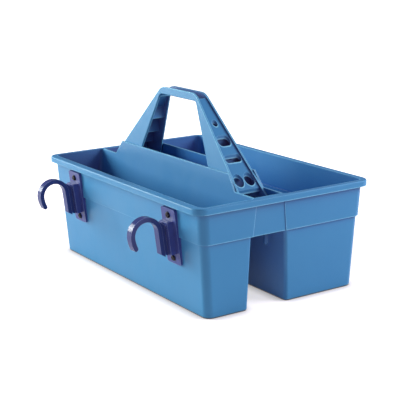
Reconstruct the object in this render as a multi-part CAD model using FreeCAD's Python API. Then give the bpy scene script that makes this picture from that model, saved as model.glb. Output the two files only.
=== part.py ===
import FreeCAD, Part

import math
import os

# Twin-bin tool caddy: a moulded tray, a snap-in arch handle and two slide-in rail hooks.
# +X runs along the length, the hooks are on the -Y side, +Z is up. Millimetres.

# Tray outside
rim_length = 420.0
rim_width = 284.0
rim_height = 150.0
lip_height = 8.5
lip_overhang_end = 4.5
lip_overhang_side = 8.5
lip_skin = 2.4
lip_round = 2.0
apron_bottom = 100.0
apron_step = 2.6
end_draft = 0.04
side_draft = 0.066
rim_corner = 17.0
apron_corner = 13.0
bin_corner = 11.0
gap_corner = 5.0
foot_bevel = 1.5

# Tray walls
wall = 2.5
bin_floor = 3.0
channel_floor = 2.5

# Channel between the bins, which the handle stands in
channel_y = -26.4
channel_half_top = 19.2
channel_flare = 0.105
gap_flare = 0.04
divider_rise = 21.0
divider_from_end = 52.0
divider_slope_run = 16.0
end_recess = 4.0

# Handle
handle_top = 264.7
grip_half = 44.4
grip_depth = 10.8
grip_round = 22.0
foot_height = 12.8
opening_half = 46.2
opening_lean = 26.5
opening_round = 6.0
cheek = 2.6
web = 4.0
web_recess = 2.4
web_past_hole = 3.4
grip_trough = 7.5
hand_round = 1.8
handle_fit = 0.5
tongue_width = 5.6
tongue_thickness = 1.6
tongue_flex = 1.4
tongue_drop = 19.0
tongue_round = 2.2
barb_reach = 1.6
barb_height = 5.0
slot_clearance = 0.3

# Tool holes in each sloped leg: distance from the middle along X, then the hole's size
pick_hole_x = 78.8
pick_hole_diameter = 8.0
upper_slot_x = 100.0
upper_slot_depth = 12.6
upper_slot_width = 20.0
lower_slot_x = 121.2
lower_slot_depth = 9.0
lower_slot_width = 25.0
driver_hole_x = 146.0
driver_hole_diameter = 15.0
driver_hole_pitch = 17.2
slot_end_flat = 1.0

# Cross walls under the web, one uphill of each tool hole
socket_wall = 2.5
socket_offset = 2.0
socket_drop = 4.0

# Hook brackets on the front wall; the wedge tips them out at the top
bracket_from_end = 78.0
bracket_wedge = 3.2
plate_width = 33.0
plate_thickness = 2.5
plate_lip_gap = 4.5
plate_below_step = 39.5
plate_corner = 3.0
pad_clearance = 0.4
guide_width = 21.0
guide_depth = 9.0
guide_top_gap = 7.0
guide_foot_gap = 7.5
guide_stop = 9.0
stop_proud = 0.4
guide_round = 1.2
dimple_diameter = 2.6
dimple_depth = 1.5

# Rail hooks
foot_width = 13.2
foot_depth = 2.8
foot_lift = 3.6
neck_width = 6.2
slide_fit = 0.2
rib_width = 7.0
rib_depth = 5.0
strip_width = 10.5
strip_depth = 6.3
arch_radius = 17.0
arch_below_shoulder = 10.7
curl_radius = 40.0
curl_angle = 20.0
leg_past_guide = 1.0
leg_bevel = 5.0
shoulder_above_guide = 1.5

# Bracket fasteners
screw_diameter = 3.5
screw_head_diameter = 8.4
screw_head_height = 2.8
screw_head_bevel = 1.2
screw_hole_clearance = 0.2
upper_screw_inset = 9.0
lower_screw_inset = 8.0
spot_clearance = 0.3
spot_depth = 0.3
screw_past_nut = 1.5
recess_width = 1.1
recess_length = 4.6
recess_depth = 1.4
washer_diameter = 9.0
washer_thickness = 0.8
nut_flats = 7.0
nut_height = 3.2
thread_clearance = 0.05

# Worked-out sizes
margin = 1.0
tolerance = 1e-6
lip_bottom = rim_height - lip_height
divider_top = rim_height + divider_rise
divider_foot_half = rim_length / 2 - divider_from_end
divider_head_half = divider_foot_half - divider_slope_run
channel_base = apron_bottom + channel_floor
ledge = apron_bottom + wall
lean = math.atan(side_draft)
wedge = math.radians(bracket_wedge)
wall_normal = wall * math.cos(lean)
step_normal = apron_step * math.cos(lean)
bracket_x = rim_length / 2 - bracket_from_end
plate_above_step = lip_bottom - apron_bottom - plate_lip_gap
screw_above_step = plate_above_step - upper_screw_inset
screw_below_step = plate_below_step - lower_screw_inset
guide_above_step = screw_above_step - guide_top_gap
guide_below_step = screw_below_step - guide_foot_gap
shoulder_above_step = guide_above_step + shoulder_above_guide
arch_above_step = shoulder_above_step - arch_below_shoulder
leg_end_below_step = guide_below_step + leg_past_guide
guide_face = plate_thickness + guide_depth
strip_back = guide_face + slide_fit + rib_depth
strip_front = strip_back + strip_depth


def apron_x(z):
    return rim_length / 2 - lip_overhang_end - end_draft * (lip_bottom - z)


def apron_y(z):
    return rim_width / 2 - lip_overhang_side - side_draft * (lip_bottom - z)


def channel_half(z):
    return channel_half_top + channel_flare * (divider_top - z)


def gap_half(z):
    return channel_half(apron_bottom) + gap_flare * (apron_bottom - z)


def channel_end(z):
    return apron_x(z) - end_recess - wall


foot_half = channel_end(channel_base) - handle_fit - tongue_flex
leg_drop = handle_top - channel_base - foot_height
leg_angle = math.atan(leg_drop / (foot_half - grip_half))


def loop(half_x, y_low, y_high, z, round_low, round_high):
    corners = [
        (-half_x + round_low, y_low + round_low, round_low, 180),
        (half_x - round_low, y_low + round_low, round_low, 270),
        (half_x - round_high, y_high - round_high, round_high, 0),
        (-half_x + round_high, y_high - round_high, round_high, 90),
    ]
    arcs = []
    for x, y, radius, start in corners:
        points = []
        for turn in (start, start + 45, start + 90):
            angle = math.radians(turn)
            spot = FreeCAD.Vector(x + radius * math.cos(angle), y + radius * math.sin(angle), z)
            points.append(spot)
        arcs.append(points)
    edges = []
    for here, after in zip(arcs, arcs[1:] + arcs[:1]):
        edges.append(Part.Arc(*here).toShape())
        edges.append(Part.makeLine(here[2], after[0]))
    return Part.Wire(edges)


def loft(lower, upper):
    return Part.makeLoft([lower, upper], True, True)


def prism_x(outline, x_low, x_high):
    points = [FreeCAD.Vector(x_low, y, z) for y, z in outline]
    face = Part.Face(Part.makePolygon(points + points[:1]))
    return face.extrude(FreeCAD.Vector(x_high - x_low, 0, 0))


def prism_y(outline, y_low, y_high):
    points = [FreeCAD.Vector(x, y_low, z) for x, z in outline]
    face = Part.Face(Part.makePolygon(points + points[:1]))
    return face.extrude(FreeCAD.Vector(0, y_high - y_low, 0))


def box(x_low, x_high, y_low, y_high, z_low, z_high):
    size = (x_high - x_low, y_high - y_low, z_high - z_low)
    return Part.makeBox(*size, FreeCAD.Vector(x_low, y_low, z_low))


def level_edges(solid, z):
    edges = []
    for edge in solid.Edges:
        bounds = edge.BoundBox
        if abs(bounds.ZMin - z) < tolerance and abs(bounds.ZMax - z) < tolerance:
            edges.append(edge)
    return edges


def cross_edges(solid, places):
    edges = []
    for edge in solid.Edges:
        first = edge.Vertexes[0].Point
        last = edge.Vertexes[-1].Point
        straight = abs(first.x - last.x) < tolerance and abs(first.z - last.z) < tolerance
        for x, z in places:
            if straight and abs(first.x - x) < tolerance and abs(first.z - z) < tolerance:
                edges.append(edge)
    return edges


# Tray: everything but the fastener holes

def bin_loop(side, z, inset):
    half_x = apron_x(z) - apron_step - inset
    outer = side * (apron_y(z) - apron_step - inset)
    inner = channel_y + side * (gap_half(z) + inset)
    outer_round = bin_corner - inset
    inner_round = gap_corner - inset
    if side < 0:
        return loop(half_x, outer, inner, z, outer_round, inner_round)
    return loop(half_x, inner, outer, z, inner_round, outer_round)


def bin_body(side):
    foot = loft(bin_loop(side, 0.0, foot_bevel), bin_loop(side, foot_bevel, 0.0))
    walls = loft(bin_loop(side, foot_bevel, 0.0), bin_loop(side, apron_bottom, 0.0))
    return foot.fuse(walls)


def bin_hollow(side):
    pieces = []
    spans = (
        (bin_floor, ledge, apron_step, gap_half, bin_corner),
        (ledge, rim_height + margin, 0.0, channel_half, apron_corner),
    )
    for z_low, z_high, step, middle_half, corner in spans:
        loops = []
        for z in (z_low, z_high):
            half_x = apron_x(z) - step - wall
            outer = side * (apron_y(z) - step - wall)
            inner = channel_y + side * (middle_half(z) + wall)
            if side < 0:
                loops.append(loop(half_x, outer, inner, z, corner - wall, gap_corner))
            else:
                loops.append(loop(half_x, inner, outer, z, gap_corner, corner - wall))
        pieces.append(loft(*loops))
    return pieces[0].fuse(pieces[1])


def apron_body():
    loops = []
    for z in (apron_bottom, rim_height):
        loops.append(loop(apron_x(z), -apron_y(z), apron_y(z), z, apron_corner, apron_corner))
    return loft(*loops)


def rim_block(inset, z_low, z_high):
    half_x = rim_length / 2 - inset
    half_y = rim_width / 2 - inset
    radius = rim_corner - inset
    outline = loop(half_x, -half_y, half_y, z_low, radius, radius)
    return Part.Face(outline).extrude(FreeCAD.Vector(0, 0, z_high - z_low))


def rim_lip():
    block = rim_block(0.0, lip_bottom, rim_height)
    block = block.makeFillet(lip_round, level_edges(block, rim_height))
    return block.cut(rim_block(lip_skin, lip_bottom - margin, rim_height - lip_skin))


def channel_outline(extra, z_low, z_high):
    low = channel_half(z_low) + extra
    high = channel_half(z_high) + extra
    return [
        (channel_y - low, z_low),
        (channel_y + low, z_low),
        (channel_y + high, z_high),
        (channel_y - high, z_high),
    ]


def divider_ridge():
    slope = [
        (-divider_foot_half, lip_bottom),
        (divider_foot_half, lip_bottom),
        (divider_foot_half, rim_height),
        (divider_head_half, divider_top),
        (-divider_head_half, divider_top),
        (-divider_foot_half, rim_height),
    ]
    side_view = prism_y(slope, -rim_width, rim_width)
    end_view = prism_x(channel_outline(wall, lip_bottom, divider_top), -rim_length, rim_length)
    return side_view.common(end_view)


def channel_hollow():
    top = divider_top + margin
    ends = [
        (-channel_end(channel_base), channel_base),
        (channel_end(channel_base), channel_base),
        (channel_end(top), top),
        (-channel_end(top), top),
    ]
    side_view = prism_y(ends, -rim_width, rim_width)
    end_view = prism_x(channel_outline(0.0, channel_base, top), -rim_length, rim_length)
    return side_view.common(end_view)


def end_recess_cut(side):
    low = apron_bottom - margin
    face = [
        (side * (apron_x(low) - end_recess), low),
        (side * rim_length, low),
        (side * rim_length, lip_bottom),
        (side * (apron_x(lip_bottom) - end_recess), lip_bottom),
    ]
    side_view = prism_y(face, -rim_width, rim_width)
    end_view = prism_x(channel_outline(0.0, low, lip_bottom), -rim_length, rim_length)
    return side_view.common(end_view)


def tongue_slot(side):
    outer = side * (foot_half + tongue_flex + slot_clearance)
    inner = side * (foot_half - tongue_thickness - slot_clearance)
    half = tongue_width / 2 + slot_clearance
    x_low = min(outer, inner)
    x_high = max(outer, inner)
    z_low = apron_bottom - margin
    z_high = channel_base + margin
    return box(x_low, x_high, channel_y - half, channel_y + half, z_low, z_high)


def make_tray():
    tray = apron_body().fuse([bin_body(-1), bin_body(1), rim_lip(), divider_ridge()])
    cuts = [bin_hollow(-1), bin_hollow(1), channel_hollow()]
    for side in (-1, 1):
        cuts.append(end_recess_cut(side))
        cuts.append(tongue_slot(side))
        for height in (screw_above_step, -screw_below_step):
            radius = screw_diameter / 2 + screw_hole_clearance
            hole = wall_cylinder(radius, -margin, step_normal + wall_normal + margin, height)
            cuts.append(on_wall(hole, side, 0.0))
    return tray.cut(cuts).removeSplitter()


# Handle: two flared cheeks joined by a recessed web, with tool holes drawn straight up and down

def leg_height(x):
    return handle_top - (x - grip_half) * math.tan(leg_angle)


def arch_outline(inset, base):
    corner_x = grip_half - inset * math.tan(leg_angle / 2)
    corner_z = handle_top - inset
    side_x = foot_half - inset
    side_z = leg_height(side_x) - inset / math.cos(leg_angle)
    right = [(side_x, base), (side_x, side_z), (corner_x, corner_z)]
    left = [(-x, z) for x, z in reversed(right)]
    return right + left


def arch_block(inset, base):
    outline = arch_outline(inset, base)
    block = prism_y(outline, -rim_width, rim_width)
    return block.makeFillet(grip_round - inset, cross_edges(block, outline[2:4]))


def hand_opening():
    top = handle_top - grip_depth
    low = channel_base - margin
    low_half = opening_half + (top - low) * math.tan(math.radians(opening_lean))
    corners = [(opening_half, top), (-opening_half, top)]
    block = prism_y([(low_half, low)] + corners + [(-low_half, low)], -rim_width, rim_width)
    return block.makeFillet(opening_round, cross_edges(block, corners))


def web_underside(x):
    return leg_height(x) - (web_recess + web) / math.cos(leg_angle)


def cross_wall(side, x, depth):
    outer = side * (x - depth / 2 - socket_offset)
    inner = outer - side * socket_wall
    low = web_underside(x + depth / 2) - socket_drop
    return box(min(outer, inner), max(outer, inner), -rim_width, rim_width, low, handle_top)


def cross_walls(side):
    return [
        cross_wall(side, pick_hole_x, pick_hole_diameter),
        cross_wall(side, upper_slot_x, upper_slot_depth),
        cross_wall(side, lower_slot_x, lower_slot_depth),
        cross_wall(side, driver_hole_x, driver_hole_diameter),
    ]


def hole_span(x, depth):
    low = web_underside(abs(x) + depth / 2) - margin
    high = leg_height(abs(x) - depth / 2) + margin
    return low, high


def upright_slot(x, depth, width):
    low, high = hole_span(x, depth)
    radius = (min(depth, width) - slot_end_flat) / 2
    outline = loop(depth / 2, -width / 2, width / 2, low, radius, radius)
    outline.translate(FreeCAD.Vector(x, channel_y, 0))
    return Part.Face(outline).extrude(FreeCAD.Vector(0, 0, high - low))


def upright_hole(x, y, diameter):
    low, high = hole_span(x, diameter)
    return Part.makeCylinder(diameter / 2, high - low, FreeCAD.Vector(x, y, low))


def tool_holes(side):
    holes = [
        upright_hole(side * pick_hole_x, channel_y, pick_hole_diameter),
        upright_slot(side * upper_slot_x, upper_slot_depth, upper_slot_width),
        upright_slot(side * lower_slot_x, lower_slot_depth, lower_slot_width),
    ]
    for offset in (-driver_hole_pitch / 2, driver_hole_pitch / 2):
        holes.append(upright_hole(side * driver_hole_x, channel_y + offset, driver_hole_diameter))
    return holes


def foot_pocket(side):
    outer = foot_half - web_recess - web
    stop = driver_hole_x + driver_hole_diameter / 2 + web_past_hole
    x_low = min(side * outer, side * stop)
    return box(x_low, x_low + outer - stop, -rim_width, rim_width, channel_base, handle_top)


def hand_edges(solid):
    top = handle_top - grip_depth
    edges = []
    for edge in level_edges(solid, top):
        if edge.BoundBox.XLength > opening_half:
            edges.append(edge)
    return edges


def snap_tongue(side):
    outer = foot_half
    inner = foot_half - tongue_thickness
    root = foot_half - web_recess - web
    catch = apron_bottom - slot_clearance
    outline = [
        (outer, channel_base + web),
        (outer, channel_base - tongue_drop),
        (inner, channel_base - tongue_drop),
        (inner, catch - barb_height),
        (inner - barb_reach, catch),
        (inner, catch),
        (inner, channel_base),
        (root, channel_base),
        (root, channel_base + web),
    ]
    outline = [(side * x, z) for x, z in outline]
    tongue = prism_y(outline, channel_y - tongue_width / 2, channel_y + tongue_width / 2)
    end_edges = level_edges(tongue, channel_base - tongue_drop)
    corners = [edge for edge in end_edges if abs(edge.Length - tongue_thickness) < tolerance]
    return tongue.makeFillet(tongue_round, corners)


def make_handle():
    outside = prism_x(channel_outline(-handle_fit, channel_base, handle_top), -rim_length, rim_length)
    low = channel_base - margin
    inner_outline = channel_outline(-handle_fit - cheek, low, handle_top + margin)
    between = prism_x(inner_outline, -rim_length, rim_length)
    arch = arch_block(0.0, channel_base).cut(hand_opening())
    arch = arch.common(outside)
    arch = arch.makeFillet(hand_round, hand_edges(arch))
    grip_end = opening_half + socket_wall
    grip_floor = box(-grip_end, grip_end, -rim_width, rim_width, low, handle_top)
    trough_floor = handle_top - grip_trough
    trough = box(-foot_half, foot_half, -rim_width, rim_width, trough_floor, handle_top + margin)
    underside = arch_block(web_recess + web, low)
    underside = underside.cut(cross_walls(-1) + cross_walls(1) + [grip_floor])
    above_web = arch_block(0.0, low).cut(arch_block(web_recess, low))
    hollows = [underside, above_web, trough, foot_pocket(-1), foot_pocket(1)]
    handle = arch.cut([hollow.common(between) for hollow in hollows])
    handle = handle.cut(tool_holes(-1) + tool_holes(1))
    return handle.fuse([snap_tongue(-1), snap_tongue(1)]).removeSplitter()


# Hook brackets, rail hooks and fasteners are drawn on an upright wall:
# y = 0 is the apron's face, y rises into the tray, z = 0 is the apron's step.
# Brackets and hooks then tip by the wedge as well as the wall's own lean.

def on_wall(shape, side, tip):
    placed = shape.copy()
    placed.rotate(FreeCAD.Vector(0, 0, 0), FreeCAD.Vector(1, 0, 0), math.degrees(lean) + tip)
    placed.translate(FreeCAD.Vector(side * bracket_x, -apron_y(apron_bottom), apron_bottom))
    return placed


def tipped_back(shape):
    turned = shape.copy()
    turned.rotate(FreeCAD.Vector(0, 0, 0), FreeCAD.Vector(1, 0, 0), -bracket_wedge)
    return turned


def wall_cylinder(radius, y_low, y_high, z):
    base = FreeCAD.Vector(0, y_low, z)
    return Part.makeCylinder(radius, y_high - y_low, base, FreeCAD.Vector(0, 1, 0))


def head_seat(height):
    low_edge = height - screw_head_diameter / 2 - spot_clearance
    return spot_depth - plate_thickness / math.cos(wedge) - low_edge * math.tan(wedge)


def wall_behind():
    deep = plate_width
    high = plate_above_step + deep
    low = -plate_below_step - deep
    outline = [
        (0.0, high),
        (deep, high),
        (deep, low),
        (step_normal, low),
        (step_normal, -pad_clearance),
        (0.0, -pad_clearance),
    ]
    return tipped_back(prism_x(outline, -plate_width, plate_width))


def rounded_block(half, y_low, y_high, z_low, z_high, radius):
    block = box(-half, half, y_low, y_high, z_low, z_high)
    places = [(x, z) for x in (-half, half) for z in (z_low, z_high)]
    return block.makeFillet(radius, cross_edges(block, places))


def make_bracket():
    plate_back = plate_thickness + step_normal + margin
    plate = rounded_block(
        plate_width / 2, -plate_thickness, plate_back, -plate_below_step, plate_above_step, plate_corner
    )
    slot_top = guide_above_step - guide_stop
    stop = rounded_block(
        guide_width / 2, -guide_face, -margin, slot_top, guide_above_step, guide_round
    )
    rails = rounded_block(
        guide_width / 2 - stop_proud,
        stop_proud - guide_face,
        -margin,
        -guide_below_step,
        slot_top + guide_stop / 2,
        guide_round,
    )
    foot_half_slot = foot_width / 2 + slide_fit
    foot_back = -plate_thickness - foot_lift + slide_fit
    foot_front = -plate_thickness - foot_lift - foot_depth - slide_fit
    neck_half_slot = neck_width / 2 + slide_fit
    low = -guide_below_step - margin
    dimple_bottom = -guide_face + dimple_depth
    dimple_z = guide_above_step - guide_stop / 2
    dimple_x = (neck_half_slot + guide_width / 2) / 2
    cuts = [
        wall_behind(),
        box(-foot_half_slot, foot_half_slot, foot_front, foot_back, low, slot_top),
        box(-neck_half_slot, neck_half_slot, -guide_face - margin, foot_back, low, slot_top),
    ]
    for side in (-1, 1):
        dimple = wall_cylinder(dimple_diameter / 2, -guide_face - margin, dimple_bottom, dimple_z)
        dimple.translate(FreeCAD.Vector(side * dimple_x, 0, 0))
        cuts.append(dimple)
    for height in (screw_above_step, -screw_below_step):
        seat = head_seat(height)
        hole_radius = screw_diameter / 2 + screw_hole_clearance
        spot_radius = screw_head_diameter / 2 + spot_clearance
        hole = wall_cylinder(hole_radius, seat - margin, step_normal + margin, height)
        spot = wall_cylinder(spot_radius, seat - screw_head_height, seat, height)
        cuts.append(tipped_back(hole))
        cuts.append(tipped_back(spot))
    return plate.fuse([rails, stop]).cut(cuts).removeSplitter()


def yz(y, z):
    return FreeCAD.Vector(0, y, z)


def arc_about(y, z, radius, start, end):
    points = []
    for turn in (start, (start + end) / 2, end):
        angle = math.radians(turn)
        points.append(yz(y + radius * math.cos(angle), z + radius * math.sin(angle)))
    return Part.Arc(*points).toShape()


def hook_strip():
    middle_y = -strip_front - arch_radius
    middle_z = arch_above_step
    outer_radius = arch_radius + strip_depth
    curl_y = middle_y - arch_radius - strip_depth / 2 + curl_radius
    end_turn = 180 + curl_angle
    end_angle = math.radians(end_turn)
    tip_y = curl_y + curl_radius * math.cos(end_angle)
    tip_z = middle_z + curl_radius * math.sin(end_angle)
    bar_half = strip_depth / 2
    leg_end = -leg_end_below_step
    edges = [
        Part.makeLine(yz(-strip_back, leg_end), yz(-strip_back, middle_z)),
        arc_about(middle_y, middle_z, outer_radius, 0, 180),
        arc_about(curl_y, middle_z, curl_radius + bar_half, 180, end_turn),
        arc_about(tip_y, tip_z, bar_half, end_turn, end_turn + 180),
        arc_about(curl_y, middle_z, curl_radius - bar_half, end_turn, 180),
        arc_about(middle_y, middle_z, arch_radius, 180, 0),
        Part.makeLine(yz(-strip_front, middle_z), yz(-strip_front, leg_end + leg_bevel)),
        Part.makeLine(yz(-strip_front, leg_end + leg_bevel), yz(-strip_back, leg_end)),
    ]
    face = Part.Face(Part.Wire(edges))
    face.translate(FreeCAD.Vector(-strip_width / 2, 0, 0))
    return face.extrude(FreeCAD.Vector(strip_width, 0, 0))


def make_hook():
    rib_back = -guide_face - slide_fit
    inside = -strip_back - strip_depth / 2
    rise = shoulder_above_step - arch_above_step
    outer_radius = arch_radius + strip_depth
    shoulder_y = -strip_front - arch_radius + math.sqrt(outer_radius ** 2 - rise ** 2)
    rib_outline = [
        (rib_back, -leg_end_below_step),
        (rib_back, shoulder_above_step - rib_depth),
        (-strip_back, shoulder_above_step),
        (shoulder_y - margin, shoulder_above_step),
        (inside, arch_above_step),
        (inside, -leg_end_below_step + leg_bevel),
    ]
    rib = prism_x(rib_outline, -rib_width / 2, rib_width / 2)
    foot_top = guide_above_step - guide_stop
    foot_front = -plate_thickness - foot_lift - foot_depth
    foot_back = -plate_thickness - foot_lift
    low = -guide_below_step
    neck = box(-neck_width / 2, neck_width / 2, rib_back - margin, foot_front + margin, low, foot_top)
    foot = box(-foot_width / 2, foot_width / 2, foot_front, foot_back, low, foot_top)
    return hook_strip().fuse([rib, neck, foot]).removeSplitter()


def make_screw(head, end):
    head_top = head - screw_head_height
    cap = wall_cylinder(screw_head_diameter / 2, head_top, head, 0.0)
    crown = [edge for edge in cap.Edges if abs(edge.BoundBox.YMax - head_top) < tolerance]
    cap = cap.makeChamfer(screw_head_bevel, crown)
    shank = wall_cylinder(screw_diameter / 2, head - margin, end, 0.0)
    half = recess_length / 2
    thin = recess_width / 2
    bottom = head_top + recess_depth
    cross = [
        box(-half, half, head_top - margin, bottom, -thin, thin),
        box(-thin, thin, head_top - margin, bottom, -half, half),
    ]
    return cap.fuse(shank).cut(cross).removeSplitter()


def make_washer(seat):
    ring = wall_cylinder(washer_diameter / 2, seat, seat + washer_thickness, 0.0)
    bore = screw_diameter / 2 + screw_hole_clearance
    return ring.cut(wall_cylinder(bore, seat - margin, seat + washer_thickness + margin, 0.0))


def make_nut(seat):
    corner = nut_flats / math.sqrt(3)
    outline = []
    for turn in range(6):
        angle = math.radians(60 * turn)
        outline.append((corner * math.cos(angle), corner * math.sin(angle)))
    low = seat + washer_thickness
    nut = prism_y(outline, low, low + nut_height)
    bore = screw_diameter / 2 + thread_clearance
    return nut.cut(wall_cylinder(bore, low - margin, low + nut_height + margin, 0.0))


def make_nodes():
    nodes = {"tray": make_tray(), "carry_handle": make_handle()}
    bracket = make_bracket()
    hook = make_hook()
    rows = (
        ("upper", screw_above_step, wall_normal),
        ("lower", -screw_below_step, step_normal + wall_normal),
    )
    for name, side in (("left", -1), ("right", 1)):
        nodes["hook_bracket_" + name] = on_wall(bracket, side, bracket_wedge)
        nodes["rail_hook_" + name] = on_wall(hook, side, bracket_wedge)
        for row, height, seat in rows:
            screw_end = seat + washer_thickness + nut_height + screw_past_nut
            fasteners = {
                "screw": make_screw(head_seat(height), screw_end),
                "washer": make_washer(seat),
                "nut": make_nut(seat),
            }
            for kind, shape in fasteners.items():
                shape.translate(FreeCAD.Vector(0, 0, height))
                nodes["_".join((kind, name, row))] = on_wall(shape, side, 0.0)
    return nodes


def main():
    os.makedirs("parts", exist_ok=True)
    nodes = make_nodes()
    bounds = FreeCAD.BoundBox()
    for shape in nodes.values():
        bounds.add(shape.optimalBoundingBox(False, False))
    centre = bounds.Center
    to_origin = FreeCAD.Vector(-centre.x, -centre.y, -bounds.ZMin)
    for name, shape in nodes.items():
        shape.translate(to_origin)
        shape.exportStep("parts/" + name + ".step")


main()
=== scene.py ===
import math

import bpy
from mathutils import Matrix, Vector


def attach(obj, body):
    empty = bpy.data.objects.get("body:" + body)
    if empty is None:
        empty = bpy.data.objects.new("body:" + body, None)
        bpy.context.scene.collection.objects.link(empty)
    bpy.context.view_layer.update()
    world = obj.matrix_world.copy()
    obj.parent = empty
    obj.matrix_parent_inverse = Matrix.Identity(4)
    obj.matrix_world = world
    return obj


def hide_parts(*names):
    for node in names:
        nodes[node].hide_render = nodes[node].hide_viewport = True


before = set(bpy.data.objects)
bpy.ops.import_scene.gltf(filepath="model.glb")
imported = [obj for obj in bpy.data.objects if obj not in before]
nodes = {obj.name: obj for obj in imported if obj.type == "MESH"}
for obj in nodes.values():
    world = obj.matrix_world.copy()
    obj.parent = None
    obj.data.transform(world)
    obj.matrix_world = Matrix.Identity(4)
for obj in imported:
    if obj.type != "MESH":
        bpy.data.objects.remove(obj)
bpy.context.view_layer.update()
print("caddy frame loaded:", len(nodes), "nodes")


# Picking, copying and rounding

fineMerge = {"distance": 0.00002, "flat": 0.3}
softEdge = {"angle": 32.0, "segments": 2, "clamp": True, "smooth": 40.0, "weight": 60}


def letGo():
    if bpy.context.object and bpy.context.object.mode != "OBJECT":
        bpy.ops.object.mode_set(mode="OBJECT")
    bpy.ops.object.select_all(action="DESELECT")


def pickUp(piece):
    letGo()
    piece.hide_set(False)
    piece.select_set(True)
    bpy.context.view_layer.objects.active = piece


def copyNode(nodeName, pieceName, merge):
    source = nodes[nodeName]
    piece = bpy.data.objects.new(pieceName, source.data.copy())
    piece.data.name = pieceName
    bpy.context.scene.collection.objects.link(piece)
    piece.data.materials.clear()
    pickUp(piece)
    bpy.ops.object.mode_set(mode="EDIT")
    bpy.ops.mesh.select_all(action="SELECT")
    bpy.ops.mesh.customdata_custom_splitnormals_clear()
    bpy.ops.mesh.remove_doubles(threshold=merge["distance"])
    bpy.ops.mesh.dissolve_limited(angle_limit=math.radians(merge["flat"]))
    bpy.ops.object.mode_set(mode="OBJECT")
    return piece


def roundEdges(piece, edge):
    pickUp(piece)
    bevel = piece.modifiers.new("softEdges", "BEVEL")
    bevel.limit_method = "ANGLE"
    bevel.angle_limit = math.radians(edge["angle"])
    bevel.width = edge["width"]
    bevel.segments = edge["segments"]
    bevel.use_clamp_overlap = edge["clamp"]
    bevel.miter_outer = "MITER_ARC"
    bpy.ops.object.modifier_apply(modifier=bevel.name)
    bpy.ops.object.shade_smooth_by_angle(angle=math.radians(edge["smooth"]))
    even = piece.modifiers.new("evenShade", "WEIGHTED_NORMAL")
    even.keep_sharp = True
    even.weight = edge["weight"]
    bpy.ops.object.modifier_apply(modifier=even.name)


def dress(piece, material, body, nodeName):
    piece.data.materials.append(material)
    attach(piece, body)
    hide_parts(nodeName)


# Node helpers for the finishes

hollowSamples = 8


def emptyTree(holder, outKind):
    holder.use_nodes = True
    tree = holder.node_tree
    tree.nodes.clear()
    return tree, tree.nodes.new(outKind).inputs["Surface"]


def newFinish(name):
    finish = bpy.data.materials.new(name)
    tree, surface = emptyTree(finish, "ShaderNodeOutputMaterial")
    shader = tree.nodes.new("ShaderNodeBsdfPrincipled")
    tree.links.new(shader.outputs["BSDF"], surface)
    place = tree.nodes.new("ShaderNodeTexCoord")
    return finish, tree, shader, place.outputs["Object"]


def noise(tree, where, pattern):
    if "stretch" in pattern:
        mapping = tree.nodes.new("ShaderNodeMapping")
        mapping.inputs["Scale"].default_value = pattern["stretch"]
        tree.links.new(where, mapping.inputs["Vector"])
        where = mapping.outputs["Vector"]
    grain = tree.nodes.new("ShaderNodeTexNoise")
    grain.inputs["Scale"].default_value = pattern["scale"]
    grain.inputs["Detail"].default_value = pattern["detail"]
    grain.inputs["Roughness"].default_value = pattern["rough"]
    tree.links.new(where, grain.inputs["Vector"])
    return grain.outputs["Fac"]


def ramp(tree, fac, stops, colours):
    band = tree.nodes.new("ShaderNodeValToRGB")
    tree.links.new(fac, band.inputs["Fac"])
    for point, stop, colour in zip(band.color_ramp.elements, stops, colours):
        point.position = stop
        point.color = (*colour, 1.0)
    return band.outputs["Color"]


def spread(tree, fac, source, target=(0.0, 1.0)):
    span = tree.nodes.new("ShaderNodeMapRange")
    ends = ("From Min", "From Max", "To Min", "To Max")
    for end, value in zip(ends, (*source, *target)):
        span.inputs[end].default_value = value
    tree.links.new(fac, span.inputs["Value"])
    return span.outputs["Result"]


def mixColours(tree, fac, first, second):
    mix = tree.nodes.new("ShaderNodeMix")
    mix.data_type = "RGBA"
    tree.links.new(fac, mix.inputs["Factor"])
    sockets = {socket.identifier: socket for socket in (*mix.inputs, *mix.outputs)}
    for word, value in (("A_Color", first), ("B_Color", second)):
        if isinstance(value, tuple):
            sockets[word].default_value = (*value, 1.0)
        else:
            tree.links.new(value, sockets[word])
    return sockets["Result_Color"]


def sums(tree, kind, *values):
    step = tree.nodes.new("ShaderNodeMath")
    step.operation = kind
    for socket, value in zip(step.inputs, values):
        if isinstance(value, float):
            socket.default_value = value
        else:
            tree.links.new(value, socket)
    return step.outputs["Value"]


def axesOf(tree, vector):
    axes = tree.nodes.new("ShaderNodeSeparateXYZ")
    tree.links.new(vector, axes.inputs["Vector"])
    return axes.outputs


def openness(tree, reach, ownOnly, inside=False):
    hollow = tree.nodes.new("ShaderNodeAmbientOcclusion")
    hollow.samples = hollowSamples
    hollow.only_local = ownOnly
    hollow.inside = inside
    hollow.inputs["Distance"].default_value = reach
    return hollow.outputs["AO"]


# lighter colour on outer edges and corners: wear, and on the plastics also a painted edge
# highlight
def wornAndHighlitEdges(tree, where, look):
    # looks inwards, so only outer edges and corners answer
    corner = openness(tree, look["wornAndHighlitReach"], True, True)
    edge = spread(tree, corner, look["wornAndHighlitRange"], (1.0, 0.0))
    rub = spread(tree, noise(tree, where, look["rub"]), look["rubRange"], look["rubDepth"])
    return sums(tree, "MULTIPLY", edge, rub)


# painted shade: a darker colour in tight creases and corners, found by ambient occlusion
def shadeCreases(tree, look, colour):
    clear = spread(tree, openness(tree, look["creaseShadeReach"], False), look["creaseShadeRange"])
    return mixColours(tree, clear, look["creaseShade"], colour)


def setRoughness(tree, shader, fac, look):
    rough = spread(tree, fac, look["scuffRange"], look["roughness"])
    tree.links.new(rough, shader.inputs["Roughness"])


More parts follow.
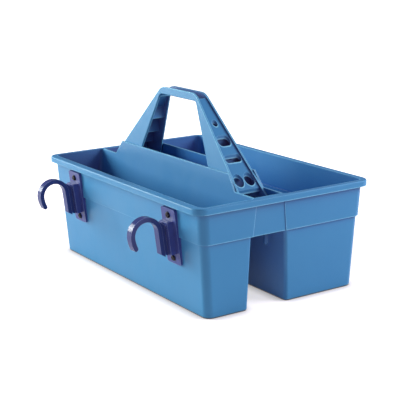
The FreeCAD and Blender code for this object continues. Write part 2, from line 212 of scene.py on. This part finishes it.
def bump(tree, where, pattern, before=None):
    relief = tree.nodes.new("ShaderNodeBump")
    relief.inputs["Strength"].default_value = pattern["strength"]
    relief.inputs["Distance"].default_value = pattern["depth"]
    tree.links.new(noise(tree, where, pattern), relief.inputs["Height"])
    if before:
        tree.links.new(before, relief.inputs["Normal"])
    return relief.outputs["Normal"]


# Blue moulded plastic of tray and handle

blue = {
    "body": (0.076, 0.335, 0.615),
    "deep": (0.068, 0.312, 0.592),
    "flow": {"scale": 7.0, "detail": 4.0, "rough": 0.55},
    "flowStops": (0.3, 0.7),
    # lighter edge colour: wear and a painted edge highlight
    "wornAndHighlit": (0.30, 0.78, 1.0),
    "wornAndHighlitReach": 0.0017,
    "wornAndHighlitRange": (0.60, 0.93),
    "rub": {"scale": 60.0, "detail": 6.0, "rough": 0.7},
    "rubRange": (0.3, 0.6),
    "rubDepth": (0.65, 1.0),
    "lowEdge": {"facing": -0.35, "top": 0.1425, "keep": 0.30},
    # painted shade in tight creases
    "creaseShade": (0.040, 0.044, 0.150),
    "creaseShadeReach": 0.004,
    "creaseShadeRange": (0.06, 0.50),
    # painted shade in enclosed places, darker in the back bin
    "trayPaintedShade": (0.024, 0.145, 0.490),
    "handlePaintedShade": (0.130, 0.135, 0.340),
    "paintedShadeReach": 0.15,
    "paintedShadeRange": (0.08, 0.98),
    "paintedShadeRow": (-0.030, 0.050),  # from the front bin to the back bin
    "paintedShadeBend": (0.25, 1.7),  # slight in front, strong at the back
    # painted violet shade on the bins' end walls
    "endShadeTint": (0.170, 0.150, 0.370),
    # painted violet shade in the deepest hollows
    "trayDeepShade": (0.130, 0.080, 0.195),
    "handleDeepShade": (0.220, 0.140, 0.290),
    "deepShadeRange": (0.02, 0.26),
    # lighter violet painted shade inside the gap under the bridge
    "gapShadeTint": (0.210, 0.360, 0.660),
    "gapHalf": 0.031,
    "gapTop": 0.0995,
    # painted shade on feet and snap tongues
    "footPaintedShade": (0.014, 0.080, 0.220),
    "footShade": (0.098, 0.110),
    "scuff": {"scale": 26.0, "detail": 8.0, "rough": 0.75, "stretch": (1.0, 1.0, 0.35)},
    "scuffRange": (0.35, 0.65),
    "roughness": (0.34, 0.46),
    "wave": {"scale": 14.0, "detail": 2.0, "rough": 0.4, "strength": 0.35, "depth": 0.0012},
    "grain": {"scale": 900.0, "detail": 3.0, "rough": 0.6, "strength": 0.30, "depth": 0.00005},
    "ior": 1.49,
    "specular": 0.25,
}


def lessOnLowEdges(tree, edges, place, facing):
    # painted edge highlight and wear are weaker on the front's lower edges than on the rim
    low = blue["lowEdge"]
    front = sums(tree, "LESS_THAN", facing["Y"], low["facing"])
    below = sums(tree, "LESS_THAN", place["Z"], low["top"])
    lower = sums(tree, "MULTIPLY", front, below)
    return sums(tree, "MULTIPLY", edges, spread(tree, lower, (0.0, 1.0), (1.0, low["keep"])))


def insideGap(tree, place):
    near = sums(tree, "LESS_THAN", sums(tree, "ABSOLUTE", place["Y"]), blue["gapHalf"])
    under = sums(tree, "LESS_THAN", place["Z"], blue["gapTop"])
    return sums(tree, "MULTIPLY", near, under)


# painted shade: a tint mixed in where the mask is set, more where the place is enclosed
def tintPaintedShade(tree, colour, mask, light, tint):
    closed = sums(tree, "MULTIPLY", mask, sums(tree, "SUBTRACT", 1.0, light))
    return mixColours(tree, closed, colour, tint)


def blueColour(tree, where, part):
    onTray = part == "tray"
    place = axesOf(tree, where)
    flow = noise(tree, where, blue["flow"])
    colour = ramp(tree, flow, blue["flowStops"], (blue["deep"], blue["body"]))
    edges = wornAndHighlitEdges(tree, where, blue)
    light = openness(tree, blue["paintedShadeReach"], True)
    if onTray:
        facing = axesOf(tree, tree.nodes.new("ShaderNodeNewGeometry").outputs["Normal"])
        edges = lessOnLowEdges(tree, edges, place, facing)
    # wear and painted highlight on the outer edges
    colour = mixColours(tree, edges, colour, blue["wornAndHighlit"])
    if onTray:  # the gap under the bridge gets its own violet painted shade and none of the painted shade that follows
        inGap = insideGap(tree, place)
        colour = tintPaintedShade(tree, colour, inGap, light, blue["gapShadeTint"])
        light = sums(tree, "MAXIMUM", light, inGap)
    # painted shade in enclosed places, stronger in the wide back bin than in the narrow front
    # bin
    bend = spread(tree, place["Y"], blue["paintedShadeRow"], blue["paintedShadeBend"])
    paintedShade = sums(tree, "POWER", spread(tree, light, blue["paintedShadeRange"]), bend)
    colour = mixColours(tree, paintedShade, blue[part + "PaintedShade"], colour)
    if onTray:  # painted violet shade on the bins' end walls where they are enclosed
        endwards = sums(tree, "ABSOLUTE", facing["X"])
        colour = tintPaintedShade(tree, colour, endwards, light, blue["endShadeTint"])
    # painted violet shade in the deepest hollows
    deep = spread(tree, light, blue["deepShadeRange"])
    colour = mixColours(tree, deep, blue[part + "DeepShade"], colour)
    colour = shadeCreases(tree, blue, colour)
    if not onTray:  # painted shade on the feet and snap tongues, low down
        above = spread(tree, place["Z"], blue["footShade"])
        colour = mixColours(tree, above, blue["footPaintedShade"], colour)
    return colour


def makeBlue(name, part):
    finish, tree, shader, where = newFinish(name)
    tree.links.new(blueColour(tree, where, part), shader.inputs["Base Color"])
    setRoughness(tree, shader, noise(tree, where, blue["scuff"]), blue)
    soft = bump(tree, where, blue["wave"])
    tree.links.new(bump(tree, where, blue["grain"], soft), shader.inputs["Normal"])
    shader.inputs["IOR"].default_value = blue["ior"]
    shader.inputs["Specular IOR Level"].default_value = blue["specular"]
    return finish


# Deep violet blue plastic of brackets and hooks

violet = {
    "hook": ((0.045, 0.067, 0.236), (0.052, 0.078, 0.265)),
    "bracket": ((0.066, 0.092, 0.310), (0.078, 0.106, 0.350)),
    "flow": {"scale": 30.0, "detail": 4.0, "rough": 0.55},
    "flowStops": (0.3, 0.7),
    # lighter edge colour: wear and a painted edge highlight
    "wornAndHighlit": (0.27, 0.35, 0.64),
    "wornAndHighlitReach": 0.0008,
    "wornAndHighlitRange": (0.55, 0.93),
    "rub": {"scale": 120.0, "detail": 6.0, "rough": 0.7},
    "rubRange": (0.3, 0.6),
    "rubDepth": (0.4, 1.0),
    # painted shade in tight creases
    "creaseShade": (0.014, 0.012, 0.055),
    "creaseShadeReach": 0.005,
    "creaseShadeRange": (0.05, 0.45),
    "scuff": {"scale": 80.0, "detail": 8.0, "rough": 0.75},
    "scuffRange": (0.35, 0.65),
    "roughness": (0.14, 0.24),
    "grain": {"scale": 1200.0, "detail": 3.0, "rough": 0.6, "strength": 0.25, "depth": 0.00004},
    "ior": 1.53,
    "specular": 0.16,
}


def makeViolet(name, part):
    finish, tree, shader, where = newFinish(name)
    colour = ramp(tree, noise(tree, where, violet["flow"]), violet["flowStops"], violet[part])
    colour = mixColours(tree, wornAndHighlitEdges(tree, where, violet), colour, violet["wornAndHighlit"])
    tree.links.new(shadeCreases(tree, violet, colour), shader.inputs["Base Color"])
    setRoughness(tree, shader, noise(tree, where, violet["scuff"]), violet)
    tree.links.new(bump(tree, where, violet["grain"]), shader.inputs["Normal"])
    shader.inputs["IOR"].default_value = violet["ior"]
    shader.inputs["Specular IOR Level"].default_value = violet["specular"]
    return finish


# Black oxide steel of the fasteners

steel = {
    "body": (0.014, 0.014, 0.019),
    "bright": (0.030, 0.030, 0.038),
    "flow": {"scale": 220.0, "detail": 4.0, "rough": 0.6},
    "flowStops": (0.3, 0.75),
    "wornAndHighlit": (0.22, 0.22, 0.25),
    "wornAndHighlitReach": 0.0003,
    "wornAndHighlitRange": (0.55, 0.93),
    "rub": {"scale": 500.0, "detail": 5.0, "rough": 0.7},
    "rubRange": (0.3, 0.6),
    "rubDepth": (0.3, 0.9),
    "metallic": 0.85,
    "scuffRange": (0.3, 0.7),
    "roughness": (0.28, 0.46),
    "grain": {"scale": 2500.0, "detail": 3.0, "rough": 0.6, "strength": 0.2, "depth": 0.00003},
}


def makeSteel(name):
    finish, tree, shader, where = newFinish(name)
    flow = noise(tree, where, steel["flow"])
    colour = ramp(tree, flow, steel["flowStops"], (steel["body"], steel["bright"]))
    colour = mixColours(tree, wornAndHighlitEdges(tree, where, steel), colour, steel["wornAndHighlit"])
    tree.links.new(colour, shader.inputs["Base Color"])
    shader.inputs["Metallic"].default_value = steel["metallic"]
    setRoughness(tree, shader, flow, steel)
    tree.links.new(bump(tree, where, steel["grain"]), shader.inputs["Normal"])
    return finish


trayBlue = makeBlue("satinBlueTray", "tray")
handleBlue = makeBlue("satinBlueHandle", "handle")
hookViolet = makeViolet("glossVioletHook", "hook")
bracketViolet = makeViolet("glossVioletBracket", "bracket")
blackSteel = makeSteel("blackOxideSteel")
print("finishes made")


# Tray and handle

trayLook = {
    "merge": fineMerge,
    "panel": {
        "inner": 0.1990,
        "outer": 0.2022,
        "facing": 0.99,
        "half": 0.030,
        "low": 0.1,
        "high": 0.142,
        "out": 0.0032,  # how far the panels come outwards
    },
    "edge": dict(softEdge, width=0.0007),
}
handleLook = {
    "merge": fineMerge,
    "edge": dict(softEdge, width=0.0006),
}


def onPanel(face, side, panel):
    across = panel["inner"] < side * face.center.x < panel["outer"]
    outwards = side * face.normal.x > panel["facing"]
    between = abs(face.center.y) < panel["half"]
    return across and outwards and between and panel["low"] < face.center.z < panel["high"]


def easePanels(tray, panel):
    # the bridge's end panels stand nearly flush between the two aprons
    pickUp(tray)
    for side in (-1.0, 1.0):
        bpy.ops.object.mode_set(mode="EDIT")
        bpy.ops.mesh.select_mode(type="FACE")
        bpy.ops.mesh.select_all(action="DESELECT")
        bpy.ops.object.mode_set(mode="OBJECT")
        for face in tray.data.polygons:
            face.select = onPanel(face, side, panel)
        bpy.ops.object.mode_set(mode="EDIT")
        bpy.ops.transform.translate(value=(side * panel["out"], 0.0, 0.0))
        bpy.ops.object.mode_set(mode="OBJECT")


def makeTray():
    tray = copyNode("tray", "trayMoulding", trayLook["merge"])
    easePanels(tray, trayLook["panel"])
    roundEdges(tray, trayLook["edge"])
    dress(tray, trayBlue, "caddy", "tray")


def makeHandle():
    handle = copyNode("carry_handle", "archHandle", handleLook["merge"])
    roundEdges(handle, handleLook["edge"])
    dress(handle, handleBlue, "caddy", "carry_handle")


makeTray()
makeHandle()
print("tray and handle dressed")


# Brackets, hooks and fasteners

bracketLook = {
    "merge": fineMerge,
    "edge": dict(softEdge, width=0.0005),
}
hookLook = {
    "merge": fineMerge,
    "edge": dict(softEdge, width=0.0012, segments=3),
}
fastenerLook = {
    "merge": dict(fineMerge, distance=0.000005),
    "edge": dict(softEdge, width=0.00015, smooth=35.0),
}


def makeBracket(word):
    bracket = copyNode("hook_bracket_" + word, word + "HookBracket", bracketLook["merge"])
    roundEdges(bracket, bracketLook["edge"])
    dress(bracket, bracketViolet, "caddy", "hook_bracket_" + word)


def makeHook(word):
    hook = copyNode("rail_hook_" + word, word + "RailHook", hookLook["merge"])
    roundEdges(hook, hookLook["edge"])
    dress(hook, hookViolet, word + "_hook", "rail_hook_" + word)


def makeFastener(kind, word, row):
    nodeName = "_".join((kind, word, row))
    pieceName = word + row.capitalize() + kind.capitalize()
    piece = copyNode(nodeName, pieceName, fastenerLook["merge"])
    roundEdges(piece, fastenerLook["edge"])
    dress(piece, blackSteel, "caddy", nodeName)


for word in ("left", "right"):
    makeBracket(word)
    makeHook(word)
    for kind in ("screw", "washer", "nut"):
        for row in ("upper", "lower"):
            makeFastener(kind, word, row)
print("hooks and fasteners dressed")


# Floor, light and camera

studio = {
    "floorSize": 40.0,
    "floorLevel": -0.0004,
    "floorColour": (0.94, 0.87, 0.84),
    "floorGlow": (0.66, 1.0),
    "glowReach": (0.22, 0.75),
    "glowColour": (1.0, 0.975, 0.945),
    "contactReach": 0.024,  # painted contact shadow close to the bins' bottoms
    "contactShade": (0.04, 0.86),
    "contactColour": (0.0, 0.0, 0.0),
    "skyColour": (1.02, 0.84, 1.12),
    "skyStrength": 0.23,
    "backColour": (1.0, 1.0, 1.0),
    "backStrength": 1.0,
}
lamps = {
    "aim": (0.0, 0.0, 0.1),
    "frontKey": {
        "place": (-1.95, -1.45, 0.95),
        "size": (1.2, 1.2),
        "power": 62.0,
        "colour": (0.94, 1.0, 0.95),
    },
    "endFill": {
        "place": (0.85, 1.1, 0.85),
        "size": (0.8, 0.8),
        "power": 15.2,
        "colour": (0.94, 0.96, 1.06),
    },
    "edgeGlint": {
        "place": (-1.95, -1.25, 0.68),
        "size": (0.14, 0.7),
        "power": 7.0,
        "colour": (1.0, 1.0, 1.0),
    },
}
shot = {
    "place": (1.28799, -0.81640, 0.48896),
    "forward": (-0.8113418, 0.5306617, -0.2451993),
    "right": (0.5504923, 0.8347045, -0.0150560),
    "lens": 97.94,
    "sensor": 36.0,
    "clip": (0.05, 100.0),
}


def seenRays(tree, *kinds):
    path = tree.nodes.new("ShaderNodeLightPath").outputs
    seen = path["Is Camera Ray"]
    for kind in kinds:
        seen = sums(tree, "MAXIMUM", seen, path[kind])
    return seen


def floorFinish(name):
    finish = bpy.data.materials.new(name)
    tree, surface = emptyTree(finish, "ShaderNodeOutputMaterial")
    matte = tree.nodes.new("ShaderNodeBsdfDiffuse")
    glow = tree.nodes.new("ShaderNodeEmission")
    glow.inputs["Color"].default_value = (*studio["glowColour"], 1.0)
    # the far floor runs into white; round the caddy the glow is lower so the lamps' shadow
    # shows, and a painted contact shadow darkens the floor next to the caddy
    place = tree.nodes.new("ShaderNodeTexCoord")
    away = tree.nodes.new("ShaderNodeVectorMath")
    away.operation = "LENGTH"
    tree.links.new(place.outputs["Object"], away.inputs["Vector"])
    level = spread(tree, away.outputs["Value"], studio["glowReach"], studio["floorGlow"])
    # painted contact shadow: floor colour and glow darken near the caddy
    contact = spread(tree, openness(tree, studio["contactReach"], False), studio["contactShade"])
    shade = mixColours(tree, contact, studio["contactColour"], studio["floorColour"])
    tree.links.new(shade, matte.inputs["Color"])
    seen = seenRays(tree, "Is Glossy Ray", "Is Transmission Ray")
    level = sums(tree, "MULTIPLY", level, contact)
    tree.links.new(sums(tree, "MULTIPLY", seen, level), glow.inputs["Strength"])
    both = tree.nodes.new("ShaderNodeAddShader")
    for socket, source in zip(both.inputs, (matte.outputs["BSDF"], glow.outputs["Emission"])):
        tree.links.new(source, socket)
    tree.links.new(both.outputs["Shader"], surface)
    return finish


def makeFloor():
    letGo()
    place = (0.0, 0.0, studio["floorLevel"])
    bpy.ops.mesh.primitive_plane_add(size=studio["floorSize"], location=place)
    floor = bpy.context.object
    floor.name = "studioFloor"
    floor.data.materials.append(floorFinish("paleFloor"))


def makeSky():
    sky = bpy.data.worlds.new("studioSky")
    bpy.context.scene.world = sky
    tree, surface = emptyTree(sky, "ShaderNodeOutputWorld")
    back = tree.nodes.new("ShaderNodeBackground")
    seen = seenRays(tree, "Is Transmission Ray")
    levels = (studio["skyStrength"], studio["backStrength"])
    tree.links.new(spread(tree, seen, (0.0, 1.0), levels), back.inputs["Strength"])
    tint = mixColours(tree, seen, studio["skyColour"], studio["backColour"])
    tree.links.new(tint, back.inputs["Color"])
    tree.links.new(back.outputs["Background"], surface)


def makeLamp(name):
    look = lamps[name]
    lamp = bpy.data.lights.new(name, "AREA")
    lamp.shape = "RECTANGLE"
    lamp.size, lamp.size_y = look["size"]
    lamp.energy = look["power"]
    lamp.color = look["colour"]
    holder = bpy.data.objects.new(name, lamp)
    place = Vector(look["place"])
    holder.location = place
    holder.rotation_euler = (Vector(lamps["aim"]) - place).to_track_quat("-Z", "Y").to_euler()
    bpy.context.scene.collection.objects.link(holder)


def makeCamera():
    lens = bpy.data.cameras.new("shotCamera")
    lens.lens = shot["lens"]
    lens.sensor_width = shot["sensor"]
    lens.clip_start, lens.clip_end = shot["clip"]
    camera = bpy.data.objects.new("shotCamera", lens)
    bpy.context.scene.collection.objects.link(camera)
    forward = Vector(shot["forward"]).normalized()
    right = Vector(shot["right"]).normalized()
    up = right.cross(forward)
    turn = Matrix((right, up, -forward)).transposed()
    camera.matrix_world = Matrix.Translation(shot["place"]) @ turn.to_4x4()
    bpy.context.scene.camera = camera


makeFloor()
makeSky()
for name in ("frontKey", "endFill", "edgeGlint"):
    makeLamp(name)
makeCamera()
bpy.context.scene.view_settings.view_transform = "Standard"
print("studio set")
